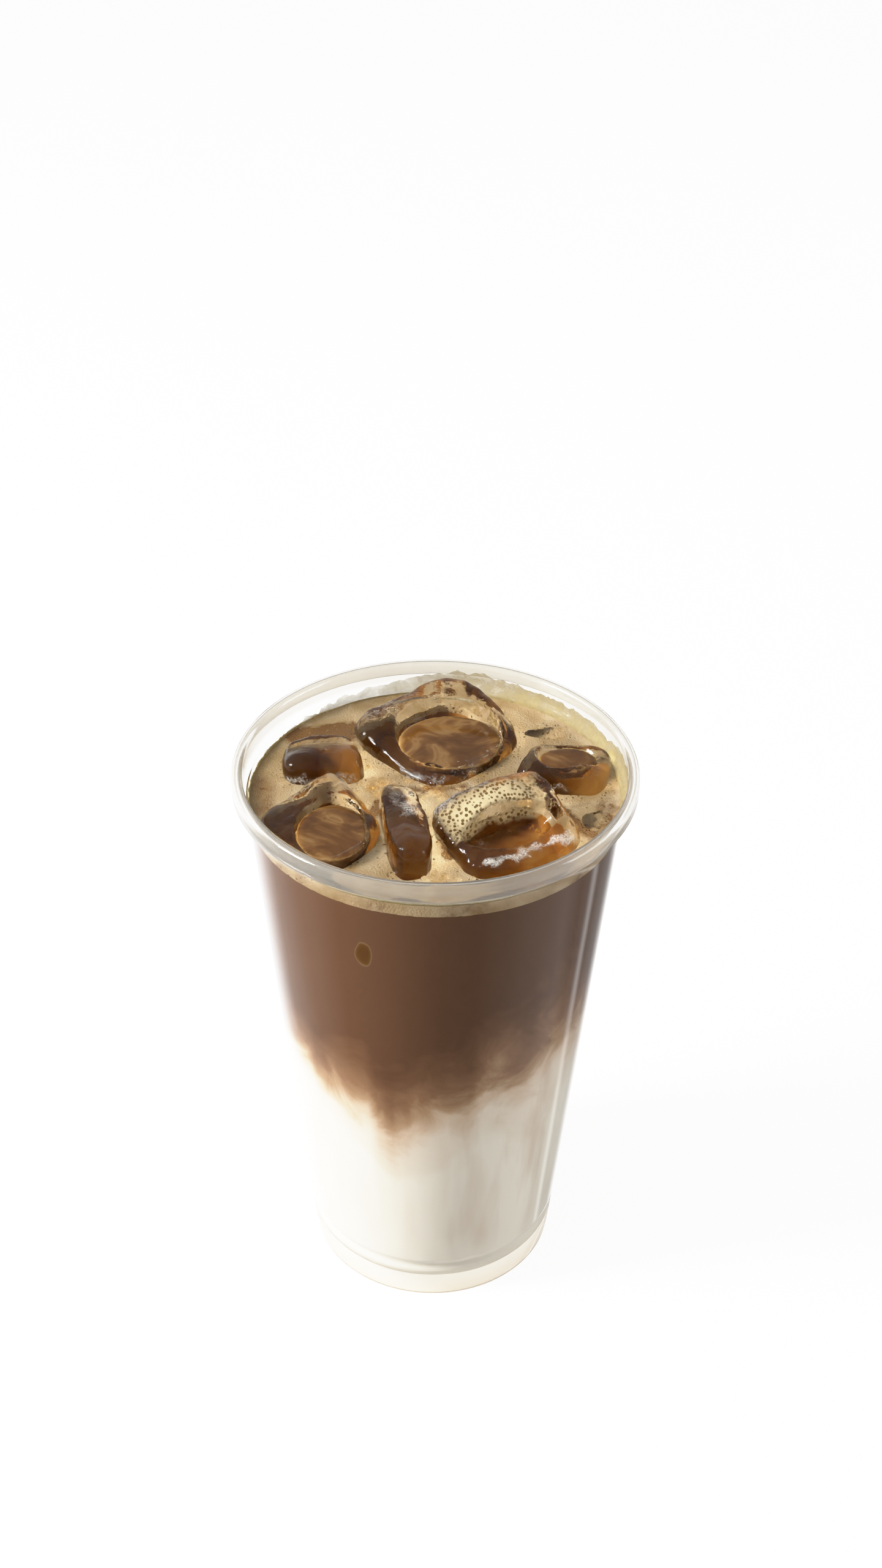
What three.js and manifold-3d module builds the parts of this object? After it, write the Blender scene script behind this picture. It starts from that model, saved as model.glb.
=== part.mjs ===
// An iced latte in a clear plastic cup: milk at the bottom, coffee over it, a skin of crema and
// hollow ice cubes that float in it, some with a pool of coffee in their hollow.
// Millimetres, +Z up. The origin is on the table, at the middle of the cup's foot.
import * as THREE from "three";
import { mergeVertices } from "three/addons/utils/BufferGeometryUtils.js";
import Module from "manifold-3d";

const wasm = await Module();
wasm.setup();

// Cup
const CUP_HEIGHT = 150;
const RIM_RADIUS = 49;
const RIM_DROP = 4.6; // height of the rolled rim
const RIM_WIDTH = 2.7;
const WALL = 0.6;
const FOOT_RADIUS = 32.2;
const FOOT_WIDTH = 2.4;
const FOOT_ROUND = 0.9;
const WALL_SLOPE = 0.0941; // how far the wall leans out for each millimetre of height
const SHOULDER = 143; // height where the wall turns out to the rim
const THROAT_EASE = 1; // how far below the rim that turn bends upright
const FLOOR = 7.5; // height of the floor's upper face
const FLOOR_ROUND = 2.2;
const HEEL = 12; // height of the groove round the foot
const HEEL_DEPTH = 0.7;
const HEEL_HALF = 1.6;
const SIDES = 56;
const CURVE_STEPS = 2;

// Drink
const CREMA_TOP = 141.2;
const CREMA_BOTTOM = 138.6;
const MILK_LEVEL = 72.7; // mean height of the cloudy border between milk and coffee
const GAP = 0.3; // between solids that touch
const JOIN = 1e-3; // corners nearer than this are one
const DISC_STEPS = 3;
const SIDE_SHARES = [0, 0.035, 0.1, 0.17, 0.4, 0.7]; // where a layer's side bends, as a share of its height
const LOBES = [[8.3, 3, -2.36], [1.5, 5, 0.1], [2.6, 8, 0]]; // the border's waves: size, number and turn

// Ice
const ICE_SIDES = 24;
const ICE_EDGE = 3; // rounding of a cube's edges
const BOWL_STEPS = 4;
const EDGE_STEPS = 2;
const PLUG_RISE = 4; // how far the cut for a cube goes on above its top
const MELT = 0.035; // how uneven melting has left the sides, as a share of the width
const RIM_MELT = 0.7; // and the top edge, in millimetres
const SIDE_WAVE = 2.3; // how far round the sides' second wave starts for each step of a cube's melt
const RIM_WAVE = 1.7; // and the top edge's wave
const POOL_INSET = 1.5; // how far a pool keeps from its hollow, as a multiple of the gap

// Each cube is set by the middle of its top, with its half width, its stretch along X and Y, how square it
// is, its height, its width at the bottom as a share of the top, its turn before that stretch and its swing
// after it, and the way it leans. Its melt sets where the waves of melting start. Its hollow has a radius,
// depth and place on the top, and a pool up to a level if coffee stands in it.
const CUBES = [
  {
    name: "ice_back", at: [1.0, 21.4, 146.8], half: 17.4, stretch: [1.02, 0.92], squareness: 4.5,
    height: 25, taper: 0.8, turn: 42, lean: 12, toward: -80, melt: 0.4,
    hollow: { radius: [13.8, 13.2], depth: 11, shift: [2.6, -1.6], pool: 143.3 },
  },
  {
    name: "ice_left", at: [-28, 10.8, 147], half: 9.4, stretch: [1.0, 0.82], squareness: 5,
    height: 23, taper: 0.98, turn: 6, lean: 4, toward: 150, melt: 1.7,
  },
  {
    name: "ice_front_left", at: [-26.2, -16.6, 145.4], half: 16.4, stretch: [0.7, 0.98], squareness: 4.5,
    height: 23, taper: 0.76, turn: 41, lean: 5, toward: -60, melt: 2.9,
    hollow: { radius: [8.8, 11.6], depth: 9, shift: [2.2, -3.2], pool: 144 },
  },
  {
    name: "ice_front", at: [-7.0, -18, 148], half: 15.6, stretch: [0.33, 1.06], squareness: 3.2,
    height: 25, taper: 0.92, turn: 3, swing: 8, lean: 6, toward: 88, melt: 4.1,
  },
  {
    name: "ice_front_right", at: [16.9, -18.9, 147.6], half: 15.8, stretch: [1.0, 0.86], squareness: 5,
    height: 25, taper: 0.8, turn: 0, swing: 28, lean: 13, toward: -80, melt: 5.3,
    hollow: { radius: [13.0, 6.2], depth: 10, shift: [0.4, -1.6] },
  },
  {
    name: "ice_right", at: [32, 7.8, 147.2], half: 10.8, stretch: [1.0, 0.76], squareness: 4.5,
    height: 21, taper: 0.8, turn: -10, lean: 6, toward: 60, melt: 6.6,
    hollow: { radius: [7.8, 5.6], depth: 5.5, shift: [0.2, 0.3], pool: 146 },
  },
  {
    name: "ice_side", at: [38.4, -11.6, 142.2], half: 4.4, stretch: [0.75, 1.2], squareness: 3.5,
    height: 13, taper: 0.75, turn: 15, lean: 14, toward: -15, melt: 7.2,
  },
  {
    name: "ice_rear", at: [28.4, 26.8, 142.2], half: 5.2, stretch: [1.25, 0.55], squareness: 3.5,
    height: 14, taper: 0.75, turn: -44, lean: 8, toward: 45, melt: 8.4,
  },
];

const material = (color, roughness, extra = {}) =>
  new THREE.MeshStandardMaterial({ color, roughness, metalness: 0, ...extra });
const PLASTIC = material(0xe9e7e3, 0.12, { transparent: true, opacity: 0.3 });
const ICE = material(0xd9d2c2, 0.08, { transparent: true, opacity: 0.55 });
const MILK = material(0xe9e2d6, 0.4);
const COFFEE = material(0x6b4b34, 0.3);
const CREMA = material(0xdcbf85, 0.6);

// The closed surface of a geometry as a solid, and the way back.
function solidOf(geometry) {
  const bare = geometry.clone();
  bare.deleteAttribute("normal");
  bare.deleteAttribute("uv");
  const merged = mergeVertices(bare, JOIN);
  const vertProperties = merged.attributes.position.array;
  const triVerts = new Uint32Array(merged.index.array);
  return new wasm.Manifold(new wasm.Mesh({ numProp: 3, vertProperties, triVerts }));
}

function geometryOf(solid) {
  const { vertProperties, triVerts } = solid.getMesh();
  const geometry = new THREE.BufferGeometry();
  geometry.setAttribute("position", new THREE.BufferAttribute(vertProperties, 3));
  geometry.setIndex(new THREE.BufferAttribute(triVerts, 1));
  geometry.computeVertexNormals();
  return geometry;
}

// An outline turned round the Z axis, which then calls place(x, y, z, point) to move each corner.
function turned(outline, sides, place) {
  const geometry = new THREE.LatheGeometry(outline, sides).rotateX(Math.PI / 2);
  if (place) {
    const corners = geometry.attributes.position;
    for (let k = 0; k < corners.count; k++) {
      const at = [corners.getX(k), corners.getY(k), corners.getZ(k)];
      corners.setXYZ(k, ...place(...at, k % outline.length));
    }
  }
  return geometry;
}

const wallRadius = (z) => FOOT_RADIUS + WALL_SLOPE * z;
const heelGroove = (z) => HEEL_DEPTH * Math.max(0, 1 - ((z - HEEL) / HEEL_HALF) ** 2);

// The cup's section, from the middle of its underside round the foot, wall and rim to its floor.
function cupOutline() {
  const path = new THREE.Path();
  const footInside = FOOT_RADIUS - FOOT_WIDTH - FOOT_ROUND;
  const heel = [-1, -0.5, 0, 0.5, 1].map((step) => HEEL + step * HEEL_HALF);
  const lipInside = RIM_RADIUS - WALL;
  const throat = RIM_RADIUS - RIM_WIDTH;
  const rimFoot = CUP_HEIGHT - RIM_DROP;
  const crown = CUP_HEIGHT - RIM_WIDTH / 2;

  path.moveTo(0, FLOOR - WALL);
  path.lineTo(footInside - FLOOR_ROUND, FLOOR - WALL);
  path.quadraticCurveTo(footInside, FLOOR - WALL, footInside, FLOOR - WALL - FLOOR_ROUND);
  path.lineTo(FOOT_RADIUS - FOOT_WIDTH, 0);
  path.lineTo(FOOT_RADIUS - FOOT_ROUND, 0);
  path.quadraticCurveTo(wallRadius(0), 0, wallRadius(FOOT_ROUND), FOOT_ROUND);
  for (const z of heel) path.lineTo(wallRadius(z) - heelGroove(z), z);
  path.lineTo(wallRadius(SHOULDER), SHOULDER);
  path.quadraticCurveTo(throat + WALL, rimFoot - THROAT_EASE, throat + WALL, rimFoot);
  path.lineTo(throat + WALL, crown - WALL);
  path.quadraticCurveTo(throat + WALL, CUP_HEIGHT - WALL, lipInside, crown - WALL);
  path.lineTo(lipInside, rimFoot);
  path.lineTo(RIM_RADIUS, rimFoot);
  path.lineTo(RIM_RADIUS, crown);
  path.quadraticCurveTo(RIM_RADIUS, CUP_HEIGHT, RIM_RADIUS - RIM_WIDTH / 2, CUP_HEIGHT);
  path.quadraticCurveTo(throat, CUP_HEIGHT, throat, crown);
  path.lineTo(throat, rimFoot);
  path.quadraticCurveTo(throat, rimFoot - THROAT_EASE, wallRadius(SHOULDER) - WALL, SHOULDER);
  for (const z of heel.reverse()) path.lineTo(wallRadius(z) - heelGroove(z) - WALL, z);
  path.quadraticCurveTo(wallRadius(FLOOR) - WALL, FLOOR, wallRadius(FLOOR) - WALL - FLOOR_ROUND, FLOOR);
  path.lineTo(0, FLOOR);
  return path.getPoints(CURVE_STEPS);
}

// How far the drink reaches at a height: to the wall, the heel groove and the floor's rounded corner.
function drinkRadius(z) {
  const aboveHeel = THREE.MathUtils.smoothstep(z, HEEL + HEEL_HALF, HEEL + 3 * HEEL_HALF);
  const corner = FLOOR_ROUND * Math.max(0, 1 - (z - FLOOR) / FLOOR_ROUND);
  return wallRadius(z) - WALL - GAP - (1 - aboveHeel) * HEEL_DEPTH - corner;
}

// The cloudy border where coffee sinks into the milk in lobes.
function borderHeight(share, angle) {
  const lobes = LOBES.map(([size, number, turn]) => size * Math.sin(number * angle + turn));
  return MILK_LEVEL + share * lobes.reduce((sum, lobe) => sum + lobe);
}

// A layer of drink that fills the cup between two heights, each a number or a function of the share of the
// radius and the angle.
function layer(bottom, top) {
  const height = (level, share, angle) => (typeof level === "function" ? level(share, angle) : level);
  const outline = [];
  for (let i = 0; i < DISC_STEPS; i++) outline.push(new THREE.Vector2(i / DISC_STEPS, 0));
  for (const share of SIDE_SHARES) outline.push(new THREE.Vector2(1, share));
  for (let i = DISC_STEPS; i >= 0; i--) outline.push(new THREE.Vector2(i / DISC_STEPS, 1));
  return turned(outline, SIDES, (x, y, upward) => {
    const share = Math.hypot(x, y);
    const angle = Math.atan2(y, x);
    const z = THREE.MathUtils.lerp(height(bottom, share, angle), height(top, share, angle), upward);
    return [x * drinkRadius(z), y * drinkRadius(z), z];
  });
}

// Points on a quarter of an ellipse, from one end to the other.
function quarter(steps, radiusAt, heightAt) {
  const points = [];
  for (let i = 0; i <= steps; i++) {
    const angle = (i / steps) * (Math.PI / 2);
    points.push(new THREE.Vector2(radiusAt(angle), heightAt(angle)));
  }
  return points;
}

// A place in a hollow, from its share of the hollow's radius each way.
const inBowl = ({ radius, shift }, x, y) => [x * radius[0] + shift[0], y * radius[1] + shift[1]];

// A cube in its own frame, with the middle of its top at the origin. grow makes it larger all round, and
// plug fills its hollow and carries its top on upward.
function cubeGeometry(cube, grow = 0, plug = false) {
  const half = cube.half + grow / Math.min(...cube.stretch);
  const foot = half * cube.taper;
  const low = -cube.height - grow;
  const hollow = plug ? null : cube.hollow;
  const topEdge = quarter(
    EDGE_STEPS,
    (a) => half - ICE_EDGE * (1 - Math.sin(a)),
    (a) => ICE_EDGE * (Math.cos(a) - 1),
  );
  const bottomEdge = quarter(
    EDGE_STEPS,
    (a) => foot - ICE_EDGE * (1 - Math.cos(a)),
    (a) => low + ICE_EDGE * (1 - Math.sin(a)),
  );
  const inner = hollow
    ? quarter(BOWL_STEPS, Math.sin, (a) => -hollow.depth * Math.cos(a))
    : [new THREE.Vector2(0, plug ? PLUG_RISE : 0)];
  const outer = plug ? [new THREE.Vector2(half, PLUG_RISE), new THREE.Vector2(half, -ICE_EDGE)] : topEdge;
  const downward = [...inner, ...outer, ...bottomEdge, new THREE.Vector2(0, low)];

  return turned(downward.reverse(), ICE_SIDES, (x, y, z, point) => {
    const angle = Math.atan2(y, x);
    const inHollow = hollow && point >= downward.length - inner.length;
    const radius = Math.hypot(x, y);
    const spin = angle + THREE.MathUtils.degToRad(cube.turn);
    const across = Math.abs(Math.cos(angle)) ** cube.squareness;
    const along = Math.abs(Math.sin(angle)) ** cube.squareness;
    const square = (across + along) ** (-1 / cube.squareness);
    const waves = Math.sin(2 * angle + cube.melt) + Math.sin(3 * angle + SIDE_WAVE * cube.melt);
    const reach = radius * square * (1 + MELT * waves);
    const topShare = inHollow ? 1 + z / hollow.depth : Math.max(0, 1 + z / (2 * ICE_EDGE));
    const rise = plug ? 0 : RIM_MELT * Math.min(topShare, 1) * Math.sin(3 * angle + RIM_WAVE * cube.melt);
    const height = radius > 0 ? z + rise : z;
    if (inHollow) return [...inBowl(hollow, x, y), height];
    return [reach * Math.cos(spin) * cube.stretch[0], reach * Math.sin(spin) * cube.stretch[1], height];
  });
}

// The pool of coffee in a cube's hollow, in the cube's frame, before it is cut off level.
function bowlGeometry({ hollow }) {
  const share = 1 - (POOL_INSET * GAP) / Math.min(...hollow.radius);
  const inside = quarter(
    BOWL_STEPS,
    (a) => share * Math.sin(a),
    (a) => -(hollow.depth - GAP) * Math.cos(a),
  );
  const outline = [...inside, new THREE.Vector2(0, 0)];
  return turned(outline, ICE_SIDES, (x, y, z) => [...inBowl(hollow, x, y), z]);
}

// Puts a mesh where its cube floats.
function float(mesh, cube) {
  const toward = THREE.MathUtils.degToRad(cube.toward);
  const leanAxis = new THREE.Vector3(-Math.sin(toward), Math.cos(toward), 0);
  mesh.rotation.z = THREE.MathUtils.degToRad(cube.swing ?? 0);
  mesh.rotateOnWorldAxis(leanAxis, THREE.MathUtils.degToRad(cube.lean));
  mesh.position.set(...cube.at);
  mesh.updateMatrixWorld();
  return mesh;
}

function named(name, geometry, finish) {
  const mesh = new THREE.Mesh(geometry, finish);
  mesh.name = name;
  return mesh;
}

// A cube's mesh, and the same cube as a plug that the drink is cut back from.
const iceMesh = (cube) => float(named(cube.name, cubeGeometry(cube), ICE), cube);
function plugSolid(cube) {
  const plug = float(new THREE.Mesh(cubeGeometry(cube, GAP, true)), cube);
  return solidOf(plug.geometry.applyMatrix4(plug.matrixWorld));
}

// The bowl of a hollow, cut off level at the height that its pool stands to.
function poolMesh(cube) {
  const bowl = float(new THREE.Mesh(bowlGeometry(cube)), cube);
  const room = new THREE.BoxGeometry(2 * RIM_RADIUS, 2 * RIM_RADIUS, CUP_HEIGHT);
  room.translate(0, 0, cube.hollow.pool - CUP_HEIGHT / 2);
  const pool = solidOf(bowl.geometry.applyMatrix4(bowl.matrixWorld)).intersect(solidOf(room));
  return named(cube.name.replace("ice", "pool"), geometryOf(pool), COFFEE);
}

const iceInDrink = CUBES.map(plugSolid).reduce((all, plug) => all.add(plug));
const around = (geometry) => geometryOf(solidOf(geometry).subtract(iceInDrink));

const drink = new THREE.Group();
drink.add(
  named("milk", layer(FLOOR + GAP, borderHeight), MILK),
  named("coffee", around(layer((...at) => borderHeight(...at) + GAP, CREMA_BOTTOM - GAP)), COFFEE),
  named("crema", around(layer(CREMA_BOTTOM, CREMA_TOP)), CREMA),
);

const ice = new THREE.Group();
ice.add(...CUBES.map(iceMesh));
ice.add(...CUBES.filter((cube) => cube.hollow?.pool).map(poolMesh));

const icedCoffee = new THREE.Group();
icedCoffee.add(named("cup", turned(cupOutline(), SIDES), PLASTIC), drink, ice);

export default icedCoffee;
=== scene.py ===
"""Looks of an iced latte in a clear plastic cup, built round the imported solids. Blender works in metres."""

import math
import random

import bmesh
import bpy
from mathutils import Matrix, Vector, noise
from mathutils.bvhtree import BVHTree


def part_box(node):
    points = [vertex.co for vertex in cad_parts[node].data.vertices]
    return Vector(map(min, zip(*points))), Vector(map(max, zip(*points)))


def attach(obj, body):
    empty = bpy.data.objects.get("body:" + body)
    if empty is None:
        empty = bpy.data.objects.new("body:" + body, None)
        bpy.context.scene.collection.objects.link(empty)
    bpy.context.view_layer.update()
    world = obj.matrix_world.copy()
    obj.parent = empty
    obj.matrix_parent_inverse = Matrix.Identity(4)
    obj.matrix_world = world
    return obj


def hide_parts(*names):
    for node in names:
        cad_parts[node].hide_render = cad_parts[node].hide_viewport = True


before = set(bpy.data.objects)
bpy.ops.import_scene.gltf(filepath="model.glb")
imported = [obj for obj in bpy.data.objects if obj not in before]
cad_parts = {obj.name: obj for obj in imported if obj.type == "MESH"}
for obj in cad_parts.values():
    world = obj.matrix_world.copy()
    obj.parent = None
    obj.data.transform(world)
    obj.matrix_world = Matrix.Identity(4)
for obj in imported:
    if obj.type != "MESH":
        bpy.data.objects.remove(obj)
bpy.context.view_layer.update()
noise.seed_set(19)  # so that the frost's shifts are the same each run

# Sizes are in millimetres, and a finished piece is brought to metres.
MM = 0.001

# Cup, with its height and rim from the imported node
CUP_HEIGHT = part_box("cup")[1].z / MM
RIM_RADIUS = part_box("cup")[1].x / MM
RIM_DROP = 4.6
RIM_WIDTH = 2.7
WALL = 0.6
FOOT_RADIUS = 32.2
FOOT_WIDTH = 2.4
FOOT_ROUND = 0.9
WALL_SLOPE = 0.0941
SHOULDER = 143.0
FLOOR = 7.5
FLOOR_ROUND = 2.2
HEEL = 12.0
HEEL_DEPTH = 0.7
HEEL_HALF = 1.6

# Drink
CREMA_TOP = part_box("crema")[1].z / MM
CREMA_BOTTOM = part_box("crema")[0].z / MM
MILK_LEVEL = 72.7
LOBES = ((8.3, 3, -2.36), (1.5, 5, 0.1), (2.6, 8, 0.0))  # the border's waves: size, number and turn
SOAK = 0.3  # how far the drink reaches into the cup's wall, so that no air shows between them
ICE_SOAK = 0.2  # and into the ice
MENISCUS = 0.8  # how far the crema climbs where it meets the wall
CREMA_SWELL = 0.25  # how uneven its top is

# Where a corner of ice touches the wall: its middle and its reach each way
ICE_MARK_AT = (-16.21, -40.53, 123.97)
ICE_MARK_REACH = (2.667, 26.667, 4.933)

# Where the colour turns from milk to coffee, by degrees round from the front to the right
BORDER = (
    (-95, 76.0), (-66, 79.5), (-53, 79.0), (-46, 75.0), (-35, 74.5), (-25, 73.5), (-20, 67.0), (-16, 64.0),
    (-11, 67.5), (-6, 70.5), (3, 72.5), (12, 74.5), (20, 82.5), (33, 79.5), (41, 82.5), (46, 86.5),
    (58, 84.5), (90, 80.0),
)
# How deep that change is: sharp at the left, smoky at the right
BORDER_DEPTH = ((-95, 5.0), (-50, 4.5), (-30, 7.0), (0, 8.0), (20, 9.0), (50, 10.0), (95, 6.0))

# How high foam has dried on the inside of the wall, by degrees round from the front to the right
FILM = (
    (-180, 146.7), (-158, 144.5), (-149, 143.9), (-136, 142.9), (-126, 142.3), (-110, 142.4), (-80, 143.2),
    (0, 143.2), (50, 143.4), (75, 145.0), (91, 147.3), (101, 147.3), (114, 145.5), (123, 145.8), (133, 145.7),
    (139, 146.2), (151, 146.1), (162, 147.1), (170, 147.5), (180, 146.7),
)
# How well it covers the wall, in the same terms
FILM_COVER = (
    (-180, 0.75), (-160, 0.55), (-140, 0.7), (-120, 1.0), (-20, 1.0), (60, 0.9), (110, 1.1), (145, 1.1), (165, 0.85),
    (180, 0.75),
)
FILM_FOOT = CREMA_TOP - 0.4
FILM_ROWS = 8
FILM_ROUND = 480
FILM_RAGGED = 0.8  # how far its edge strays up and down
FILM_GAP = 0.05  # between the wall and the film
FILM_THICKNESS = 0.15  # of this film, and of the foam net on the ice

ROUND = 192  # steps of a full turn
WALL_STEP = 4.0  # between the rows of the cup's straight wall
CUBES = ("back", "left", "front_left", "front", "front_right", "right", "side", "rear")
POOLS = ("back", "front_left", "right")
ICE_VOXEL = 0.55
ICE_SMOOTHING = 14
ICE_WAVES = ((0.5, 7.0), (0.2, 2.6))  # what melting leaves on the ice: size and length
POOL_VOXEL = 0.5
POOL_SMOOTHING = 10
POOL_SOAK = 0.7  # how far a pool reaches into the ice

WELL_FLOOR = {"side": 140.4, "rear": 140.4}  # how far down one sees through the ice, if not as far as usual
DEEP_WELL = 134.0
WELL_SHARE = 0.12  # how much of the ice's depth is left below that

# Where frost is left on the ice: a cube, the ends of a streak, its radius and how thick it is
FROST = (
    ("front_right", (13, -33, 145), (31, -23, 146), 2.2, 0.75),
    ("front_right", (20, -33, 142), (34, -24, 142), 2.2, 0.4),
    ("front_right", (0, -16, 148), (10, -7, 149.6), 5.0, 0.5),
    ("front_right", (10, -6, 150), (23, -2, 149.6), 4.0, 0.4),
    ("front", (-11, -3, 149), (-6, -17, 149), 4.5, 0.55),
    ("front", (-9, -33, 142), (-3, -32, 142), 3.0, 0.4),
    ("left", (-37, 3, 142.5), (-19, 3, 142.5), 3.0, 0.5),
    ("left", (-34, 10, 148), (-24, 12, 148), 4.0, 0.35),
    ("back", (-12, 8, 142), (0, 4, 142), 3.5, 0.42),
    ("back", (0, 4, 142), (14, 9, 142), 3.5, 0.42),
    ("back", (-16, 22, 148), (-6, 34, 149), 4.0, 0.4),
    ("right", (24, 0, 143), (41, 3, 143), 3.0, 0.45),
    ("front_left", (-27, 1, 146), (-15, -8, 146), 4.0, 0.45),
)

# Where the crema is thin and coffee shows, and two streaks of painted shade in the same dark colour (the front-right
# cube's shadow at its right, and shade along the left wall): the ends of a streak, its radius and how bare it is
BARE_AND_SHADE = (
    # the second streak here is a painted shadow, cast by the front-right cube onto the crema
    ((14, -38), (31, -29), 3.4, 0.95), ((29, -5), (37, -17), 2.6, 0.9), ((41, -14), (42, -5), 5.0, 0.6),
    # the first streak here is painted shade along the left wall
    ((-42, 4), (-39, -18), 4.0, 0.55), ((-33, 24), (-22, 27), 5.5, 1.3), ((-13, -4), (-15, -9), 2.5, 0.9),
    ((-30, -32), (-12, -43), 2.4, 0.5), ((2, -45), (12, -44), 1.6, 0.4),
    ((-6, 1), (7, 3), 2.6, 0.6), ((2, -14), (3, -26), 2.0, 0.9), ((33, -5), (37, -4), 3.0, 0.4),
)

# Where old foam stains it by the wall, in the same terms
STAINED = (
    ((-43, -9), (-43.5, 8), 5.5, 0.75), ((-43.5, 8), (-38, 24), 5.5, 0.75), ((-38, 24), (-28, 36), 5.0, 0.4),
    ((-28, 36), (-16, 42), 4.0, 0.25),
)

# Bubbles on the crema: how many small ones there are, and each cluster's middle, spread and number of large ones
SMALL_BUBBLES = 420
CLUSTERS = (
    ((-14.5, 1), 2.4, 60), ((-1, 0.5), 3.0, 40), ((20, 3), 2.2, 30), ((0, -36), 2.5, 24), ((-18, 12), 2.0, 24),
)
SMALL_SIZE = (0.22, 0.5)  # the least radius, and how much more some have
LARGE_SIZE = (0.35, 0.75)
BUBBLE_REACH = 43  # how far from the axis a small one may be

# Foam net beside the empty hollow: the hollow's middle, turn and radii
NET_MIDDLE = (18.0, -20.1)
NET_TURN = 28
NET_RADII = (13.0, 6.2)
NET_BAND = (0.94, 2.1)  # where it starts and ends, in radii of the hollow
NET_ENDS = (-15, 12)  # and along the hollow
NET_LIFT = 0.06  # off the ice

# Camera, from a fit to the cup's outline in a photograph of 1440 by 2560 pixels
PHOTO_HEIGHT = 2560
FOCAL_PIXELS = 3400
SENSOR = 36.0
CAMERA_AT = (0.0, -413.6, 429.44)
CAMERA_PITCH = 34.615
CAMERA_YAW = 0.187
CAMERA_ROLL = 0.556

TABLE_HALF = 6.0  # in metres


def linear(hexed):
    """An sRGB hex colour as linear red, green, blue and an alpha of 1."""
    parts = [int(hexed[i:i + 2], 16) / 255 for i in (1, 3, 5)]
    return (*((p / 12.92 if p <= 0.04045 else ((p + 0.055) / 1.055) ** 2.4) for p in parts), 1.0)


def node(tree, kind, sockets=None, stops=(), **settings):
    """A shader node with its settings and any colour stops. Each socket gets a value, or a link from an output or
    from another node's first output."""
    made = tree.nodes.new("ShaderNode" + kind)
    for name, value in settings.items():
        setattr(made, name, value)
    for key, value in (sockets or {}).items():
        if isinstance(value, bpy.types.Node):
            value = value.outputs[0]
        if isinstance(value, bpy.types.NodeSocket):
            tree.links.new(value, made.inputs[key])
        else:
            made.inputs[key].default_value = value
    for i, (at, shade) in enumerate(stops):
        elements = made.color_ramp.elements
        element = elements[i] if i < 2 else elements.new(at)
        element.position = at
        element.color = linear(shade)
    return made


def blank(name):
    """A material with an empty node tree, and the place where its shader goes."""
    material = bpy.data.materials.new(name)
    material.use_nodes = True
    tree = material.node_tree
    tree.nodes.clear()
    return material, tree, tree.nodes.new("ShaderNodeOutputMaterial").inputs["Surface"]


def place_mm(tree):
    """Where a point is on the object, in millimetres."""
    coordinates = node(tree, "TexCoord").outputs["Object"]
    return node(tree, "VectorMath", {0: coordinates, "Scale": 1 / MM}, operation="SCALE")


def between(table, at):
    """A value from a table of places and values, eased from one to the next."""
    for (start, low), (end, high) in zip(table, table[1:]):
        if at <= end:
            share = max(0.0, (at - start) / (end - start))
            return low + (high - low) * share * share * (3 - 2 * share)
    return table[-1][1]


def from_front(place):
    """How many degrees round the cup a place is, from the front to the right."""
    return math.degrees(math.atan2(place.x, -place.y))


def inside_streak(place, start, end, radius):
    """How deep a place lies in a streak between two ends, from 0 at its edge to 1 in its middle."""
    start, along = Vector(start), Vector(end) - Vector(start)
    share = min(1.0, max(0.0, (place - start).dot(along) / along.length_squared))
    return max(0.0, 1 - (place - start - along * share).length / radius)


def wall_radius(z):
    return FOOT_RADIUS + WALL_SLOPE * z


def heel_groove(z):
    return HEEL_DEPTH * max(0.0, 1 - ((z - HEEL) / HEEL_HALF) ** 2)


def bend(start, control, end, steps=6):
    """Points of a curve that leaves start towards control and comes from there to end."""
    places = []
    for i in range(steps + 1):
        t = i / steps
        places.append(Vector(start) * (1 - t) ** 2 + Vector(control) * 2 * t * (1 - t) + Vector(end) * t * t)
    return places


def turned(outline, steps=ROUND):
    """A shape made by turning an outline of (radius, height) once round the cup's axis."""
    shape = bmesh.new()
    corners = [shape.verts.new((r, 0.0, z)) for r, z in outline]
    edges = [shape.edges.new(pair) for pair in zip(corners, corners[1:])]
    bmesh.ops.spin(
        shape, geom=corners + edges, cent=(0, 0, 0), axis=(0, 0, 1),
        angle=math.tau, steps=steps, use_merge=True,
    )
    bmesh.ops.remove_doubles(shape, verts=shape.verts, dist=1e-4)
    bmesh.ops.recalc_face_normals(shape, faces=shape.faces)
    return shape


def node_shape(name):
    """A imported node's shape in millimetres, with its loose triangles joined."""
    shape = bmesh.new()
    shape.from_mesh(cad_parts[name].data)
    bmesh.ops.remove_doubles(shape, verts=shape.verts, dist=1e-6)
    bmesh.ops.scale(shape, vec=Vector((1, 1, 1)) / MM, verts=shape.verts)
    return shape


def holder(shape, material=None):
    """A passing object that carries a shape through modifiers."""
    made = bpy.data.objects.new("holder", bpy.data.meshes.new("holder"))
    shape.to_mesh(made.data)
    if material:
        made.data.materials.append(material)
    bpy.context.scene.collection.objects.link(made)
    return made


def modified(carrier, modifiers):
    """The shape of a passing object after modifiers, each a kind and its settings. The object is removed."""
    for kind, settings in modifiers:
        modifier = carrier.modifiers.new(kind, kind)
        for name, value in settings.items():
            setattr(modifier, name, value)
    evaluated = carrier.evaluated_get(bpy.context.evaluated_depsgraph_get())
    shape = bmesh.new()
    shape.from_mesh(evaluated.to_mesh())
    evaluated.to_mesh_clear()
    bpy.data.objects.remove(carrier)
    return shape


def softened(shape, voxel, passes):
    """A shape with an even fine mesh and rounded edges."""
    return modified(holder(shape), [
        ("REMESH", {"mode": "VOXEL", "voxel_size": voxel}),
        ("SMOOTH", {"factor": 0.5, "iterations": passes}),
    ])


def moved_along_normals(shape, reach):
    """Moves each corner along its normal by reach, a number or a function of the corner."""
    shape.normal_update()
    steps = [corner.normal * (reach(corner) if callable(reach) else reach) for corner in shape.verts]
    for corner, step in zip(shape.verts, steps):
        corner.co += step


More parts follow.
